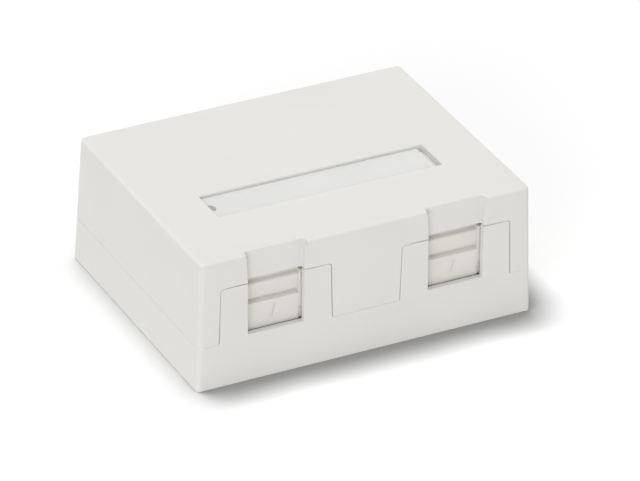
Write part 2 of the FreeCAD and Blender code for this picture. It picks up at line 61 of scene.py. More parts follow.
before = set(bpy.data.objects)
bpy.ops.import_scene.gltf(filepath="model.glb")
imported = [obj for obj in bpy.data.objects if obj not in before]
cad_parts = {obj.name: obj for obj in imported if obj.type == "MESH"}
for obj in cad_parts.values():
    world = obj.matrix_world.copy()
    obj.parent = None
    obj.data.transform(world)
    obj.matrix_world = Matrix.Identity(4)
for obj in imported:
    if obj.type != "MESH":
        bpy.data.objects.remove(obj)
cad_box = [list(corner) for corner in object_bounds()]

SIDES = ("left", "right")
SPRINGS = ("outer_spring", "inner_spring")
SMOOTH_ANGLE = math.radians(32)
FLAT_ANGLE = math.radians(0.8)
MERGE = 1e-6
WELD = 1e-8
MOST_CORNERS = 60  # a face with more corners is split before its edges are rounded
SHORTEST_ROUNDED = 2.5  # length of the shortest edge that is rounded, in radii
GLOSS_SPREAD = 0.05  # how far a plastic's roughness runs either side of its middle
DRAWN_DEPTH = 0.000002  # height of the drawing lines in plated metal
FIBRE_DEPTH = 0.000008  # height of the fibres in card


# Settings

def length(name, description, default):
    return FloatProperty(name=name, description=description, default=default, min=0.0,
                         precision=5, unit="LENGTH")


def share(name, description, default):
    return FloatProperty(name=name, description=description, default=default, min=0.0, max=1.0,
                         subtype="FACTOR")


def angle(name, description, default):
    return FloatProperty(name=name, description=description, default=math.radians(default),
                         subtype="ANGLE")


def colour(name, description, default):
    return FloatVectorProperty(name=name, description=description, default=default, size=3,
                               min=0.0, max=1.0, subtype="COLOR")


def place(name, description, default):
    return FloatVectorProperty(name=name, description=description, default=default, size=3,
                               subtype="XYZ", unit="LENGTH")


class JackBoxPlastics(bpy.types.PropertyGroup):
    """Colours and finish of the moulded plastics."""

    cover: colour("Cover", "Colour of the lift-off cover", (0.800, 0.790, 0.765))
    base: colour("Base", "Colour of the base", (0.800, 0.790, 0.765))
    shutter: colour("Shutters", "Colour of the sliding shutters", (0.800, 0.780, 0.735))
    jack: colour("Jack housings", "Colour of the jack modules' housings", (0.720, 0.710, 0.685))
    cap: colour("Wire caps", "Colour of the caps over the wire blocks", (0.660, 0.670, 0.675))
    edge_round: length("Housing edges", "Radius of the housing's moulded edges", 0.00018)
    shutter_round: length("Shutter edges", "Radius of the shutters' edges", 0.00012)
    inner_round: length("Inner edges", "Radius of the edges of the jack modules", 0.0001)
    door: length("Shutter door", "Width of a shutter's door between its lugs", 0.01235)
    skirt: length("Skirt width", "Width of the strips that close the slot beside the door", 0.0007)
    skirt_thickness: length("Skirt thickness", "Thickness of those strips", 0.0003)
    skirt_top: length("Skirt top", "Height of the strips' upper ends, just inside the lugs", 0.0145)
    grain: length("Grain", "Distance between the grains of the moulded surface", 0.00022)
    grain_depth: length("Grain depth", "Height of the grain", 0.000004)
    roughness: share("Roughness", "Middle roughness of the plastics", 0.48)


class JackBoxLabel(bpy.types.PropertyGroup):
    """Label window and its card."""

    window: colour("Window", "Tint of the clear window", (0.91, 0.915, 0.90))
    window_cover: share("Window haze", "How much the window hides what is below it", 0.82)
    window_round: length("Window edges", "Radius of the window's edges", 0.0001)
    card: colour("Card", "Colour of the blank card", (0.86, 0.87, 0.85))
    card_corner: length("Card corners", "Radius of the card's corners", 0.0006)
    card_edge: length("Card edge", "Softening of the card's cut edge", 0.00004)
    card_gap: length("Card gap", "Air between the card and the window", 0.00004)


class JackBoxSprings(bpy.types.PropertyGroup):
    """Coil springs below the shutters."""

    wire: length("Wire", "Diameter of the spring wire", 0.00034)
    radius: length("Coil radius", "Radius to the outside of the coil", 0.0013)
    turns: FloatProperty(name="Open turns", description="Turns between the closed ends",
                         default=5.5, min=1.0)
    closed: FloatProperty(name="Closed turns", description="Turns that lie flat at each end",
                          default=1.0, min=0.0)
    solid: length("Pressed length", "Length with the shutter fully down", 0.0034)
    steel: colour("Steel", "Colour of the plated steel", (0.560, 0.565, 0.570))


class JackBoxScrew(bpy.types.PropertyGroup):
    """Screw that holds the cover."""

    head_height: length("Head height", "Height of the head", 0.0019)
    shank: length("Shank radius", "Outside radius of the thread", 0.00145)
    dome: length("Dome", "Fall of the head from its middle to its rim", 0.0006)
    pitch: length("Pitch", "Distance between the turns of the thread", 0.0012)
    thread: length("Thread depth", "Depth of the thread", 0.00032)
    recess_width: length("Recess width", "Width of one bar of the cross recess", 0.0007)
    recess_length: length("Recess length", "Length of one bar of the cross recess", 0.0030)
    recess_depth: length("Recess depth", "Depth of the cross recess", 0.0011)


class JackBoxContacts(bpy.types.PropertyGroup):
    """Contact springs and boards of the jack modules."""

    wire: length("Contact wire", "Thickness of a contact spring", 0.0004)
    pitch: length("Contact pitch", "Distance between neighbouring contacts", 0.00102)
    stagger: length("Foot stagger", "Distance between the two rows of feet", 0.0016)
    bend: length("Bend radius", "Radius of the bend above the foot", 0.0008)
    slope: angle("Slope", "Rise of the blade towards the back", 12.0)
    blade_end: length("Blade end", "Depth of the blades' ends behind the jack's face", 0.0130)
    row: length("First row", "Depth of the first row of feet behind the jack's face", 0.0032)
    blade_round: length("Blade edges", "Radius of the edges of the wire blades", 0.00004)
    plating: colour("Plating", "Colour of the gold plating", (0.860, 0.640, 0.270))
    board: colour("Board", "Colour of the board's solder mask", (0.030, 0.150, 0.065))


class JackBoxStage(bpy.types.PropertyGroup):
    """Floor, lamps and camera."""

    floor: colour("Floor", "Colour of the floor", (0.90, 0.90, 0.90))
    floor_half: length("Floor half width", "Distance from the middle of the floor to its edge", 3.0)
    floor_gap: length("Floor gap", "Drop of the floor below the box", 0.00005)
    floor_lift: share("Floor lift", "Light added to the floor for the camera alone", 0.14)
    # painted shade: the next three settings darken the floor's colour beside the box, for the
    # camera alone
    contact_shade: share("Contact shade", "Part of the floor's tone left beside the box", 0.46)
    contact_reach: length("Contact reach", "Width of the deepened shade round the box", 0.0095)
    shade_lean: FloatVectorProperty(name="Shade lean", size=3, default=(-0.40, 0.30, 0.86),
                                    description="Direction that the deepened shade looks for light",
                                    subtype="DIRECTION")
    sky: FloatProperty(name="Sky", description="Strength of the even light from all round",
                       default=0.60, min=0.0)
    key: FloatProperty(name="Key lamp", description="Power of the lamp above, a little behind",
                       default=13.5, min=0.0, unit="POWER")
    key_size: length("Key size", "Side of the square key lamp", 0.5)
    key_place: place("Key place", "Where the key lamp hangs", (-0.15, 0.42, 2.0))
    fill: FloatProperty(name="Fill lamp", description="Power of the large lamp at the front left",
                        default=16.0, min=0.0, unit="POWER")
    fill_size: length("Fill size", "Side of the square fill lamp", 1.2)
    fill_place: place("Fill place", "Where the fill lamp stands", (-1.6, -1.85, 0.8))
    turn: angle("Camera turn", "Turn of the view about the vertical", 26.6)
    height: angle("Camera height", "Height of the view above the horizon", 30.0)
    roll: angle("Camera roll", "Roll of the camera about its line of sight", 0.54)
    distance: length("Camera distance", "Distance from the camera to its aim point", 1.192)
    aim: place("Aim point", "Point that the camera looks at", (0.0019, -0.0058, 0.0132))
    lens: FloatProperty(name="Lens", description="Focal length in millimetres", default=309.3,
                        min=1.0)


# Shader tools

def put(tree, kind, inputs=None, **settings):
    """Adds a node, sets its options, and fills its inputs with values or other nodes' outputs."""
    made = tree.nodes.new(kind)
    for name, value in settings.items():
        setattr(made, name, value)
    for name, value in (inputs or {}).items():
        if isinstance(value, bpy.types.NodeSocket):
            tree.links.new(value, made.inputs[name])
        else:
            made.inputs[name].default_value = value
    return made


def effect(name, inputs):
    """Starts a shader node group that puts out Colour, Roughness and Height."""
    tree = bpy.data.node_groups.new(name, "ShaderNodeTree")
    for label, value in inputs.items():
        kind = "NodeSocketColor" if isinstance(value, tuple) else "NodeSocketFloat"
        socket = tree.interface.new_socket(label, in_out="INPUT", socket_type=kind)
        socket.default_value = value
    for label, kind in (("Colour", "NodeSocketColor"), ("Roughness", "NodeSocketFloat"),
                        ("Height", "NodeSocketFloat")):
        tree.interface.new_socket(label, in_out="OUTPUT", socket_type=kind)
    return tree, put(tree, "NodeGroupInput").outputs


def close_effect(tree, tone, roughness, height):
    """Ends a group that effect started."""
    put(tree, "NodeGroupOutput", {"Colour": tone, "Roughness": roughness, "Height": height})
    return tree


def noise(tree, source, scale, detail, roughness=0.5):
    """Noise from 0 to 1 on the given coordinates."""
    made = put(tree, "ShaderNodeTexNoise", {"Vector": source, "Scale": scale, "Detail": detail,
                                            "Roughness": roughness})
    return made.outputs["Fac"]


def spread(tree, value, low, high, start=0.3, end=0.7):
    """Stretches the part of a value between start and end to run from low to high."""
    made = put(tree, "ShaderNodeMapRange", {"Value": value, "From Min": start, "From Max": end,
                                            "To Min": low, "To Max": high})
    return made.outputs["Result"]


def blend_colours(tree, factor, first, second):
    """Mix of two colours. The Mix node has more than one socket of each name, so numbers tell the
    colour ones: 0 is the factor, 6 and 7 are the colours, and output 2 is the result."""
    made = put(tree, "ShaderNodeMix", {0: factor, 6: first, 7: second}, data_type="RGBA")
    return made.outputs[2]


def combine(tree, operation, first, second):
    """Result of a Math node on two values or outputs."""
    return put(tree, "ShaderNodeMath", {0: first, 1: second}, operation=operation).outputs[0]


def stretched(tree, source, scale, turn=0.0):
    """Coordinates turned about Z and then scaled, for a pattern that runs one way."""
    made = put(tree, "ShaderNodeMapping", {"Vector": source, "Scale": scale,
                                           "Rotation": (0.0, 0.0, turn)})
    return made.outputs[0]


def moulded_surface():
    """Fine even grain of a spark-eroded mould, with slow changes of tone and gloss from flow and
    handling."""
    tree, given = effect("Moulded Surface", {
        "Colour": (0.8, 0.8, 0.8, 1.0), "Shade": (0.7, 0.7, 0.7, 1.0), "Grain": 4500.0,
        "Cloud": 45.0, "Roughness Low": 0.4, "Roughness High": 0.5})
    source = put(tree, "ShaderNodeTexCoord").outputs["Object"]
    flow = stretched(tree, source, (1.0, 0.22, 0.6))
    grain = noise(tree, source, given["Grain"], detail=2.0, roughness=0.55)
    cloud = noise(tree, source, given["Cloud"], detail=3.0)
    rubbed = noise(tree, flow, given["Cloud"], detail=6.0, roughness=0.6)
    tone = blend_colours(tree, spread(tree, cloud, 0.0, 1.0), given["Colour"], given["Shade"])
    roughness = spread(tree, combine(tree, "ADD", grain, rubbed), given["Roughness Low"],
                       given["Roughness High"], start=0.7, end=1.3)
    return close_effect(tree, tone, roughness, grain)


def plated_metal():
    """Bright plating with faint drawing lines and small dull patches."""
    tree, given = effect("Plated Metal", {
        "Colour": (0.8, 0.8, 0.8, 1.0), "Shade": (0.6, 0.6, 0.6, 1.0), "Patch": 900.0,
        "Lines": 6000.0, "Roughness Low": 0.2, "Roughness High": 0.4})
    source = put(tree, "ShaderNodeTexCoord").outputs["Object"]
    drawn = stretched(tree, source, (1.0, 1.0, 0.08))
    patch = noise(tree, source, given["Patch"], detail=3.0)
    lines = noise(tree, drawn, given["Lines"], detail=2.0)
    tone = blend_colours(tree, spread(tree, patch, 0.0, 1.0), given["Colour"], given["Shade"])
    roughness = spread(tree, combine(tree, "ADD", patch, lines), given["Roughness Low"],
                       given["Roughness High"], start=0.7, end=1.3)
    return close_effect(tree, tone, roughness, lines)


def fibre_sheet():
    """Card: short fibres that cross in two directions, over a cloudy pulp."""
    tree, given = effect("Fibre Sheet", {
        "Colour": (0.9, 0.9, 0.9, 1.0), "Shade": (0.8, 0.8, 0.8, 1.0), "Fibre": 5000.0,
        "Cloud": 300.0, "Roughness Low": 0.7, "Roughness High": 0.85})
    source = put(tree, "ShaderNodeTexCoord").outputs["Object"]
    along, across = (noise(tree, stretched(tree, source, scale, turn), given["Fibre"], detail=2.0)
                     for scale, turn in (((0.08, 1.0, 1.0), 0.5), ((1.0, 0.1, 1.0), 0.3)))
    fibres = combine(tree, "MAXIMUM", along, across)
    cloud = noise(tree, source, given["Cloud"], detail=3.0)
    pulp = spread(tree, combine(tree, "MULTIPLY", fibres, cloud), 0.0, 1.0, start=0.15, end=0.45)
    tone = blend_colours(tree, pulp, given["Colour"], given["Shade"])
    roughness = spread(tree, fibres, given["Roughness Low"], given["Roughness High"])
    return close_effect(tree, tone, roughness, fibres)


EFFECTS = {"Moulded Surface": moulded_surface, "Plated Metal": plated_metal,
           "Fibre Sheet": fibre_sheet}


def material(name, kind, values, bump, **shader):
    """Material whose colour, roughness and fine relief come from one of the effects. The rest is
    set on the shader. A material that is already there is used again."""
    known = bpy.data.materials.get(name)
    if known:
        return known
    made = bpy.data.materials.new(name)
    made.use_nodes = True
    tree = made.node_tree
    tree.nodes.clear()
    pattern = put(tree, "ShaderNodeGroup",
                  node_tree=bpy.data.node_groups.get(kind) or EFFECTS[kind]())
    for label, value in values.items():
        pattern.inputs[label].default_value = value
    relief = put(tree, "ShaderNodeBump", {"Height": pattern.outputs["Height"], "Strength": 1.0,
                                          "Distance": bump})
    surface = put(tree, "ShaderNodeBsdfPrincipled", {
        "Base Color": pattern.outputs["Colour"], "Roughness": pattern.outputs["Roughness"],
        "Normal": relief.outputs["Normal"]})
    for label, value in shader.items():
        surface.inputs[label.replace("_", " ")].default_value = value
    put(tree, "ShaderNodeOutputMaterial", {"Surface": surface.outputs["BSDF"]})
    return made


def shades(tone, fall=0.97):
    """A colour and the slightly deeper one that a pattern runs to, both with alpha."""
    return {"Colour": (*tone, 1.0), "Shade": (*(fall * part for part in tone), 1.0)}


def plastic(name, tone, roughness=None, cloud=45.0, **shader):
    """Moulded plastic, with the roughness of the settings unless one is given."""
    look = bpy.context.scene.jack_box_plastics
    middle = look.roughness if roughness is None else roughness
    values = {**shades(tone), "Grain": 1 / look.grain, "Cloud": cloud,
              "Roughness Low": middle - GLOSS_SPREAD, "Roughness High": middle + GLOSS_SPREAD}
    return material(name, "Moulded Surface", values, look.grain_depth, **shader)


def metal(name, tone, low, high):
    """Plated metal whose roughness runs from low to high."""
    values = {**shades(tone, fall=0.86), "Roughness Low": low, "Roughness High": high}
    return material(name, "Plated Metal", values, DRAWN_DEPTH, Metallic=1.0)


def plated_steel():
    """Steel of the springs and the screw."""
    return metal("Plated steel", bpy.context.scene.jack_box_springs.steel, low=0.22, high=0.38)


# Mesh tools

def add_piece(name, mesh):
    """Object of a mesh, at the origin and in the scene."""
    piece = bpy.data.objects.new(name, mesh)
    bpy.context.scene.collection.objects.link(piece)
    return piece


def grid_quads(rows, columns, count=1):
    """Corner numbers of the quads of some equal grids whose last column joins the first. A point's
    number is its row, counted through all the grids, times the columns, plus its column."""
    sheet, row, column = np.meshgrid(np.arange(count), np.arange(rows - 1), np.arange(columns),
                                     indexing="ij")
    here = (sheet * rows + row) * columns
    after = (column + 1) % columns
    return np.stack([here + column, here + after, here + columns + after, here + columns + column],
                    axis=-1).reshape(-1, 4)


def closed_skin(name, points):
    """Closed solids from an array of points, solid by row by column by x, y, z. Each row runs once
    round the form, and the first and last rows are drawn in to their middle points, so both ends
    close."""
    points = np.asarray(points, float)
    points = points if points.ndim == 4 else points[None]
    ends = [points[:, [row]].mean(axis=2, keepdims=True).repeat(points.shape[2], axis=2)
            for row in (0, -1)]
    points = np.concatenate([ends[0], points, ends[1]], axis=1)
    count, rows, columns, _ = points.shape
    mesh = bpy.data.meshes.new(name)
    mesh.from_pydata(points.reshape(-1, 3), [], grid_quads(rows, columns, count))
    shell = bmesh.new()
    shell.from_mesh(mesh)
    bmesh.ops.remove_doubles(shell, verts=shell.verts, dist=WELD)
    bmesh.ops.recalc_face_normals(shell, faces=shell.faces)
    shell.to_mesh(mesh)
    shell.free()
    smooth(mesh)
    return add_piece(name, mesh)


def smooth(mesh):
    """Smooth shading, apart from edges that turn more than the smooth angle."""
    mesh.shade_smooth()
    mesh.set_sharp_from_angle(angle=SMOOTH_ANGLE)


def carried(path, across, profile):
    """A flat profile carried along a path. The profile's first value runs along the unit vectors in
    across, and its second along the cross product of the path's direction and across. Each point is
    the path's point plus those two steps."""
    along = np.gradient(path, axis=-2)
    along /= np.linalg.norm(along, axis=-1, keepdims=True)
    up = np.cross(along, across)
    return (path[..., None, :] + profile[:, 0, None] * across[..., None, :]
            + profile[:, 1, None] * up[..., None, :])


def circle(radius, steps):
    """Points evenly round a circle: the radius times the cosine and the sine of each angle."""
    turn = np.arange(steps) * 2 * math.pi / steps
    return radius * np.stack([np.cos(turn), np.sin(turn)], axis=-1)


def smoothstep(start, end, value):
    """0 before start, 1 after end, and three t squared less two t cubed between, where t runs from
    0 to 1."""
    t = np.clip((value - start) / (end - start), 0.0, 1.0)
    return t * t * (3 - 2 * t)


def rounded_plate(low, high, corner, edge, steps=8):
    """Points of a flat plate with round corners. Each row is the outline moved in by one minus the
    cosine of an angle, times the edge softening, at a height that follows the angle's sine. One
    more outline inside each end keeps the two faces flat."""
    turn = np.linspace(-math.pi / 2, math.pi / 2, 2 * steps + 1)
    turn = np.concatenate([turn[:1], turn, turn[-1:]])
    inset = edge * (1 - np.cos(turn))
    inset[[0, -1]] *= 2
    level = np.where(turn < 0, low[2] + edge * (1 + np.sin(turn)),
                     high[2] - edge * (1 - np.sin(turn)))
    quarter = np.linspace(0, math.pi / 2, steps + 1)
    angles = ((np.arange(4) * math.pi / 2)[:, None] + quarter).ravel()
    centre = np.array([[high[0] - corner, high[1] - corner], [low[0] + corner, high[1] - corner],
                       [low[0] + corner, low[1] + corner], [high[0] - corner, low[1] + corner]])
    centre = centre.repeat(steps + 1, axis=0)
    direction = np.stack([np.cos(angles), np.sin(angles)], axis=-1)
    plan = centre[None] + (corner - inset)[:, None, None] * direction[None]
    height = np.broadcast_to(level[:, None, None], (*plan.shape[:2], 1))
    return np.concatenate([plan, height], axis=-1)


def softened(node, name, radius):
    """Copy of a node's mesh with its facets merged and its flat faces rejoined. An edge is rounded
    where it turns more than the smooth angle and is longer than a few radii, because a shorter one
    has no room for the rounding."""
    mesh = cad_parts[node].data.copy()
    mesh.name = name
    mesh.materials.clear()
    shell = bmesh.new()
    shell.from_mesh(mesh)
    bmesh.ops.remove_doubles(shell, verts=shell.verts, dist=MERGE)
    bmesh.ops.dissolve_limit(shell, angle_limit=FLAT_ANGLE, verts=shell.verts, edges=shell.edges)
    large = [face for face in shell.faces if len(face.verts) > MOST_CORNERS]
    bmesh.ops.triangulate(shell, faces=large)
    rounded = shell.edges.layers.float.new("bevel_weight_edge")
    for edge in shell.edges:
        sharp = abs(edge.calc_face_angle_signed(0.0)) > SMOOTH_ANGLE
        edge[rounded] = float(sharp and edge.calc_length() > SHORTEST_ROUNDED * radius)
    shell.to_mesh(mesh)
    shell.free()
    smooth(mesh)
    piece = add_piece(name, mesh)
    rounding = piece.modifiers.new("Rounded edges", "BEVEL")
    rounding.width = radius
    rounding.segments = 2
    rounding.limit_method = "WEIGHT"
    rounding.use_clamp_overlap = False
    rounding.miter_outer = "MITER_ARC"
    flats = piece.modifiers.new("Flat faces", "WEIGHTED_NORMAL")
    flats.keep_sharp = True
    return piece


def settle(piece, body, slot, finish, *nodes):
    """Gives a piece its material and its body, and hides the nodes that it stands for. Its finish's
    name is not used.
    """
    piece.data.materials.clear()
    piece.data.materials.append(finish)
    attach(piece, body)
    if nodes:
        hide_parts(*nodes)
    return piece


# Pieces

class JACKBOX_OT_housing(bpy.types.Operator):
    """Moulded base and cover, with their edges rounded"""

    bl_idname = "jackbox.housing"
    bl_label = "Base and Cover"

    def execute(self, context):
        look = context.scene.jack_box_plastics
        for node, tone in (("base", look.base), ("cover", look.cover)):
            piece = softened(node, node + "_moulding", look.edge_round)
            finish = plastic(node.title() + " plastic", tone)
            settle(piece, node, node + "_plastic", finish, node)
        return {"FINISHED"}


class JACKBOX_OT_shutters(bpy.types.Operator):
    """Sliding dust shutters, with the strips that close the slots beside their doors"""

    bl_idname = "jackbox.shutters"
    bl_label = "Shutters"

    def execute(self, context):
        look = context.scene.jack_box_plastics
        finish = plastic("Shutter plastic", look.shutter, cloud=120.0, Subsurface_Weight=0.4,
                         Subsurface_Radius=(1.0, 0.9, 0.75), Subsurface_Scale=0.0015)
        for side in SIDES:
            node = side + "_shutter"
            piece = softened(node, node + "_moulding", look.shutter_round)
            settle(piece, node, "shutter_plastic", finish, node)
            low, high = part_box(node)
            front = low.y + look.shutter_round / 2
            strips = []
            for way in (-1, 1):
                edge = (low.x + high.x) / 2 + way * look.door / 2
                reach = sorted((edge - way * look.shutter_round, edge + way * look.skirt))
                strips.append(rounded_plate(
                    (reach[0], front, low.z + look.skirt_thickness),
                    (reach[1], front + look.skirt_thickness, look.skirt_top),
                    look.shutter_round / 2, look.shutter_round / 2, steps=3))
            skirts = closed_skin(node + "_skirts", np.stack(strips))
            settle(skirts, node, "shutter_plastic", finish)
        return {"FINISHED"}


class JACKBOX_OT_label(bpy.types.Operator):
    """Clear label window and the blank card below it"""

    bl_idname = "jackbox.label"
    bl_label = "Label"

    def execute(self, context):
        look = context.scene.jack_box_label
        window = softened("label_window", "clear_window", look.window_round)
        finish = plastic("Clear plastic", look.window, roughness=0.12, cloud=90.0,
                         Alpha=look.window_cover, IOR=1.49)
        settle(window, "label_window", "window", finish, "label_window")
        low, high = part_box("label_card")
        high.z -= look.card_gap
        card = closed_skin("blank_card", rounded_plate(low, high, look.card_corner, look.card_edge))
        values = {**shades(look.card, fall=0.95), "Roughness Low": 0.72, "Roughness High": 0.86}
        paper = material("White card", "Fibre Sheet", values, FIBRE_DEPTH)
        settle(card, "cover", "card", paper, "label_card")
        return {"FINISHED"}


COIL_STEPS = 36  # points to a turn
COIL_SIDES = 10
CLOSED_PITCH = 0.98  # height of a closed turn in wires, so that the turns touch
OPENS_FROM = 0.7  # part of the closed turns after which the pitch starts to grow
OPENS_OVER = 0.5  # turns past the closed ones at which it is fully open


def coil_points(low, high, look):
    """Round wire along a helix: x and y are the mean radius times the cosine and sine of the angle.
    The height gained per turn is just under one wire at the closed ends, and grows on an S-curve
    to the open pitch between them. The open part's gain is stretched so that the sum fills the
    length."""
    turns = look.turns + 2 * look.closed
    winding = np.arange(int(turns * COIL_STEPS) + 1) * 2 * math.pi / COIL_STEPS
    turn = winding / (2 * math.pi)
    openness = smoothstep(look.closed * OPENS_FROM, look.closed + OPENS_OVER,
                          np.minimum(turn, turns - turn))
    room = high.z - low.z - look.wire
    closed_gain = np.full(len(turn) - 1, CLOSED_PITCH * look.wire)
    shut = np.concatenate([[0.0], np.cumsum(closed_gain)]) / COIL_STEPS
    opened = np.concatenate([[0.0], np.cumsum((openness[1:] + openness[:-1]) / 2)]) / COIL_STEPS
    rise = shut + opened * (room - shut[-1]) / opened[-1]
    mean = look.radius - look.wire / 2
    middle = (low + high) / 2
    out = np.stack([np.cos(winding), np.sin(winding), np.zeros_like(turn)], axis=-1)
    path = mean * out + np.array([middle.x, middle.y, low.z + look.wire / 2])
    path[:, 2] += rise
    return carried(path, out, circle(look.wire / 2, COIL_SIDES))


class JACKBOX_OT_springs(bpy.types.Operator):
    """Coil springs that lift the shutters"""

    bl_idname = "jackbox.springs"
    bl_label = "Springs"

    def execute(self, context):
        look = context.scene.jack_box_springs
        for side in SIDES:
            for kind in SPRINGS:
                node = f"{side}_{kind}"
                low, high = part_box(node)
                piece = closed_skin(node + "_coil", coil_points(low, high, look))
                settle(piece, "base", "steel", plated_steel(), node)
                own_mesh(piece)
        return {"FINISHED"}


HEAD_RINGS = 56
RIM_RINGS = 7
THREAD_RINGS = 420
SCREW_SIDES = 72
NECK = 1.15  # radius under the head, in root radii
ABOVE_SEAT = 1e-5
RECESS_WALL = (0.00004, -0.00006)  # where the recess's wall starts and ends, from a bar's edge
RECESS_RISE = 0.25  # how much shallower the recess gets from its middle to its ends
THREAD_RISE = (0.0, 0.42)  # parts of a pitch that the two flanks of the ridge take
THREAD_FALL = (1.0, 0.58)
THREAD_STARTS = (0.10, 0.16)  # parts of the shank over which the thread comes and goes
THREAD_ENDS = (1.0, 0.93)
POINT = (0.95, 1.0)  # part of the shank that narrows to the tip
POINT_TAPER = 0.3


def screw_points(low, high, look):
    """Screw as a radius and a height for each step from the head's middle to the tip and each
    angle. The head falls by half the dome times the square of the way out to its rim, which is a
    quarter circle. A cross recess is sunk in it where a point lies inside one of two bars, and the
    thread is a ridge that comes back each time the height in pitches, plus the angle in turns,
    passes a whole number."""
    centre = (low + high) / 2
    head = (high.x - low.x) / 2
    seat = high.z - look.head_height
    root = look.shank - look.thread
    edge = look.dome / 2
    top = np.linspace(0, 1, HEAD_RINGS)[1:]
    rim = np.linspace(0, math.pi / 2, RIM_RINGS)[1:]
    down = np.linspace(0, 1, THREAD_RINGS)
    radius = np.concatenate([top * (head - edge), head - edge + edge * np.sin(rim),
                             [head, root * NECK], np.full(THREAD_RINGS, root)])
    height = np.concatenate([high.z - edge * top ** 2, high.z - edge - edge * (1 - np.cos(rim)),
                             [seat, seat], seat + (low.z - seat) * down])
    turn = np.arange(SCREW_SIDES) * 2 * math.pi / SCREW_SIDES
    radius, turn = np.meshgrid(radius, turn, indexing="ij")
    height = np.broadcast_to(height[:, None], radius.shape).copy()
    x, y = radius * np.cos(turn), radius * np.sin(turn)
    bars = [np.maximum(np.abs(a) - look.recess_width / 2, np.abs(b) - look.recess_length / 2)
            for a, b in ((x, y), (y, x))]
    sunk = smoothstep(*RECESS_WALL, np.minimum(*bars)) * (height > seat + ABOVE_SEAT)
    height -= look.recess_depth * sunk * (1 - RECESS_RISE * radius / (look.recess_length / 2))
    phase = ((height - seat) / look.pitch + turn / (2 * math.pi)) % 1.0
    ridge = smoothstep(*THREAD_RISE, phase) * smoothstep(*THREAD_FALL, phase)
    shank = np.arange(len(radius))[:, None] >= len(radius) - THREAD_RINGS
    share_down = np.clip((seat - height) / (seat - low.z), 0, 1)
    fade = smoothstep(*THREAD_STARTS, share_down) * smoothstep(*THREAD_ENDS, share_down)
    radius = radius + shank * (look.thread * ridge * fade)
    taper = 1 - POINT_TAPER * smoothstep(*POINT, share_down) * shank
    x, y = radius * taper * np.cos(turn), radius * taper * np.sin(turn)
    return np.stack([x + centre.x, y + centre.y, height], axis=-1)


class JACKBOX_OT_screw(bpy.types.Operator):
    """Cross-head screw that holds the cover"""

    bl_idname = "jackbox.screw"
    bl_label = "Cover Screw"

    def execute(self, context):
        look = context.scene.jack_box_screw
        low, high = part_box("cover_screw")
        piece = closed_skin("threaded_cover_screw", screw_points(low, high, look))
        settle(piece, "cover", "steel", plated_steel(), "cover_screw")
        return {"FINISHED"}


class JACKBOX_OT_jacks(bpy.types.Operator):
    """Housings, wire blocks, caps and boards of the jack modules"""

    bl_idname = "jackbox.jacks"
    bl_label = "Jack Modules"

    def execute(self, context):
        look = context.scene.jack_box_plastics
        housing = plastic("Jack plastic", look.jack, cloud=160.0)
        cap = plastic("Cap plastic", look.cap, roughness=0.4, cloud=160.0)
        board = plastic("Solder mask", context.scene.jack_box_contacts.board, roughness=0.3,
                        cloud=700.0, Coat_Weight=0.3)
        for side in SIDES:
            for part, slot, finish in (("jack_body", "jack_plastic", housing),
                                       ("idc_block", "jack_plastic", housing),
                                       ("wire_cap", "cap_plastic", cap),
                                       ("jack_board", "board", board)):
                node = f"{side}_{part}"
                piece = softened(node, node + "_detail", look.inner_round)
                settle(piece, "base", slot, finish, node)
        return {"FINISHED"}


CONTACTS = 8
CONTACT_SIDES = 12
FOOT_STEPS = 5
BEND_STEPS = 13
BLADE_STEPS = 9


def contact_points(low, high, face, look):
    """Eight round wires, one pitch apart. Each rises straight from its foot, turns on an arc, and
    runs up a slope to the back. The arc starts below the corner by the bend radius times the
    tangent of half the turn. Every second foot stands further back by the stagger, and all the
    blades lie in one plane."""
    number = np.arange(CONTACTS)
    half = look.wire / 2
    x = (low.x + high.x) / 2 + look.pitch * (number - (CONTACTS - 1) / 2)
    foot = face + look.row + look.stagger * (number % 2)
    end = face + look.blade_end
    rise = math.tan(look.slope)
    end_z = high.z - half * math.cos(look.slope)
    corner_z = end_z - (end - foot) * rise
    turn = math.pi / 2 - look.slope
    reach = look.bend * math.tan(turn / 2)
    arc = np.linspace(0, turn, BEND_STEPS)
    arc_y = look.bend * (1 - np.cos(arc))
    arc_z = look.bend * np.sin(arc)
    start = np.linspace(0, 1, FOOT_STEPS)[:-1]
    y = np.concatenate([foot[:, None] + 0 * start, foot[:, None] + arc_y], axis=1)
    z = np.concatenate([low.z + (corner_z[:, None] - reach - low.z) * start,
                        corner_z[:, None] - reach + arc_z], axis=1)
    run = np.linspace(0, 1, BLADE_STEPS)[1:]
    y = np.concatenate([y, y[:, -1:] + (end - y[:, -1:]) * run], axis=1)
    z = np.concatenate([z, z[:, -1:] + (end_z - z[:, -1:]) * run], axis=1)
    path = np.stack([np.broadcast_to(x[:, None], y.shape), y, z], axis=-1)
    across = np.zeros_like(path)
    across[..., 0] = 1.0
    return carried(path, across, circle(half, CONTACT_SIDES))


class JACKBOX_OT_contacts(bpy.types.Operator):
    """Gold-plated contact springs and wire blades"""

    bl_idname = "jackbox.contacts"
    bl_label = "Contacts"

    def execute(self, context):
        look = context.scene.jack_box_contacts
        gold = metal("Gold plating", look.plating, low=0.16, high=0.30)
        for side in SIDES:
            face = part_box(side + "_jack_body")[0].y
            low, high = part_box(side + "_jack_contacts")
            wires = closed_skin(side + "_contact_wires", contact_points(low, high, face, look))
            settle(wires, "base", "contact_metal", gold, side + "_jack_contacts")
            blades = softened(side + "_idc_contacts", side + "_wire_blades", look.blade_round)
            settle(blades, "base", "contact_metal", gold, side + "_idc_contacts")
        return {"FINISHED"}


# Stage

SHADE_SAMPLES = 16
FULL_SHADE = 0.5  # ambient occlusion at which the painted shade beside the box is deepest
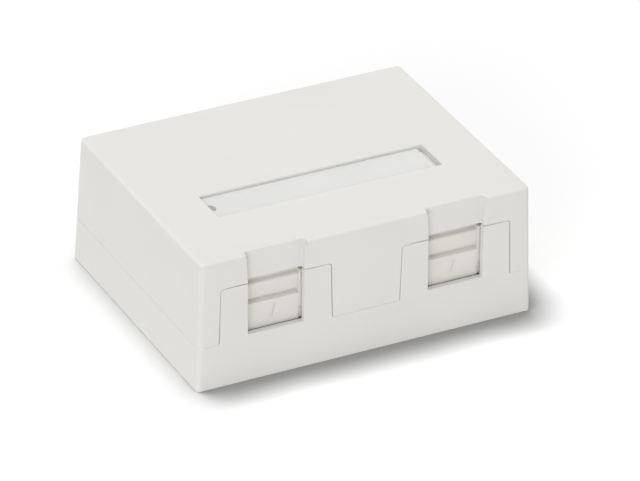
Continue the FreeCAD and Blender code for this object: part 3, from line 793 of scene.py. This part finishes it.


def floor_finish(look):
    """Pale floor that keeps shadows. For the camera alone it is lifted, so that it runs into white,
    and a painted shade darkens its colour close to what stands on it, where the lift also fades."""
    made = bpy.data.materials.new("Pale floor")
    made.use_nodes = True
    tree = made.node_tree
    tree.nodes.clear()
    seen = put(tree, "ShaderNodeLightPath").outputs["Is Camera Ray"]
    lean = put(tree, "ShaderNodeCombineXYZ", dict(zip("XYZ", look.shade_lean))).outputs[0]
    clear = put(tree, "ShaderNodeAmbientOcclusion",
                {"Distance": look.contact_reach, "Normal": lean}, samples=SHADE_SAMPLES)
    near = spread(tree, clear.outputs["AO"], 1.0, 0.0, start=FULL_SHADE, end=1.0)
    close = combine(tree, "MULTIPLY", seen, near)
    shade = [look.contact_shade * part for part in look.floor]
    # painted shade: for the camera, the floor's colour runs to a darker copy where the ambient
    # occlusion finds the box, and the lift fades there
    tone = blend_colours(tree, close, (*look.floor, 1.0), (*shade, 1.0))
    lift = combine(tree, "MULTIPLY", combine(tree, "SUBTRACT", seen, close), look.floor_lift)
    surface = put(tree, "ShaderNodeBsdfPrincipled", {
        "Base Color": tone, "Roughness": 0.9, "Specular IOR Level": 0.1,
        "Emission Color": (1.0, 1.0, 1.0, 1.0), "Emission Strength": lift})
    put(tree, "ShaderNodeOutputMaterial", {"Surface": surface.outputs["BSDF"]})
    return made


def sky_light(scene, look):
    """Even white light from all round, and plain white where the camera, a reflection or glass
    shows it."""
    world = bpy.data.worlds.new("Soft sky")
    scene.world = world
    world.use_nodes = True
    tree = world.node_tree
    tree.nodes.clear()
    path = put(tree, "ShaderNodeLightPath").outputs
    direct = combine(tree, "MAXIMUM", path["Is Camera Ray"], path["Is Glossy Ray"])
    white = combine(tree, "MAXIMUM", direct, path["Is Transmission Ray"])
    soft = put(tree, "ShaderNodeBackground", {"Color": (1, 1, 1, 1), "Strength": look.sky})
    plain = put(tree, "ShaderNodeBackground", {"Color": (1, 1, 1, 1), "Strength": 1.0})
    mixed = put(tree, "ShaderNodeMixShader", {0: white, 1: soft.outputs[0], 2: plain.outputs[0]})
    put(tree, "ShaderNodeOutputWorld", {"Surface": mixed.outputs[0]})


def soft_lamp(scene, name, power, size, position):
    """Square lamp that faces the origin."""
    lamp = bpy.data.lights.new(name, "AREA")
    lamp.shape = "SQUARE"
    lamp.size = size
    lamp.energy = power
    holder = bpy.data.objects.new(name, lamp)
    holder.location = position
    holder.rotation_mode = "QUATERNION"
    holder.rotation_quaternion = (-Vector(position)).to_track_quat("-Z", "Y")
    scene.collection.objects.link(holder)


class JACKBOX_OT_stage(bpy.types.Operator):
    """Pale floor, soft lamps and the camera"""

    bl_idname = "jackbox.stage"
    bl_label = "Stage"

    def execute(self, context):
        scene = context.scene
        look = scene.jack_box_stage
        scene.view_settings.view_transform = "Standard"
        half, level = look.floor_half, cad_box[0][2] - look.floor_gap
        corners = [(-half, -half, level), (half, -half, level), (half, half, level),
                   (-half, half, level)]
        mesh = bpy.data.meshes.new("floor")
        mesh.from_pydata(corners, [], [(0, 1, 2, 3)])
        mesh.materials.append(floor_finish(look))
        add_piece("floor", mesh)
        sky_light(scene, look)
        soft_lamp(scene, "key_lamp", look.key, look.key_size, look.key_place)
        soft_lamp(scene, "fill_lamp", look.fill, look.fill_size, look.fill_place)
        camera = bpy.data.cameras.new("camera")
        camera.lens = look.lens
        camera.clip_start, camera.clip_end = 0.01, 50.0
        holder = bpy.data.objects.new("camera", camera)
        sight = Vector((math.sin(look.turn) * math.cos(look.height),
                        math.cos(look.turn) * math.cos(look.height), -math.sin(look.height)))
        holder.location = Vector(look.aim) - sight * look.distance
        holder.rotation_mode = "QUATERNION"
        holder.rotation_quaternion = (sight.to_track_quat("-Z", "Y")
                                      @ Quaternion((0, 0, 1), look.roll))
        scene.collection.objects.link(holder)
        scene.camera = holder
        return {"FINISHED"}


class JACKBOX_PT_panel(bpy.types.Panel):
    """Sizes, colours and build steps of the jack box"""

    bl_label = "Jack Box"
    bl_idname = "JACKBOX_PT_panel"
    bl_space_type = "VIEW_3D"
    bl_region_type = "UI"
    bl_category = "Jack Box"

    def draw(self, context):
        for name, kind in SETTINGS.items():
            box = self.layout.box()
            box.label(text=kind.__doc__)
            for field in kind.__annotations__:
                box.prop(getattr(context.scene, name), field)
        for operator in OPERATORS:
            self.layout.operator(operator.bl_idname)


SETTINGS = {
    "jack_box_plastics": JackBoxPlastics,
    "jack_box_label": JackBoxLabel,
    "jack_box_springs": JackBoxSprings,
    "jack_box_screw": JackBoxScrew,
    "jack_box_contacts": JackBoxContacts,
    "jack_box_stage": JackBoxStage,
}
OPERATORS = (JACKBOX_OT_housing, JACKBOX_OT_shutters, JACKBOX_OT_label, JACKBOX_OT_springs,
             JACKBOX_OT_screw, JACKBOX_OT_jacks, JACKBOX_OT_contacts, JACKBOX_OT_stage)


def register():
    for kind in (*SETTINGS.values(), *OPERATORS, JACKBOX_PT_panel):
        bpy.utils.register_class(kind)
    for name, kind in SETTINGS.items():
        setattr(bpy.types.Scene, name, PointerProperty(type=kind))


def unregister():
    for name in SETTINGS:
        delattr(bpy.types.Scene, name)
    for kind in reversed((*SETTINGS.values(), *OPERATORS, JACKBOX_PT_panel)):
        bpy.utils.unregister_class(kind)


def main():
    register()
    for operator in OPERATORS:
        family, step = operator.bl_idname.split(".")
        getattr(getattr(bpy.ops, family), step)()


if __name__ == "__main__":
    main()
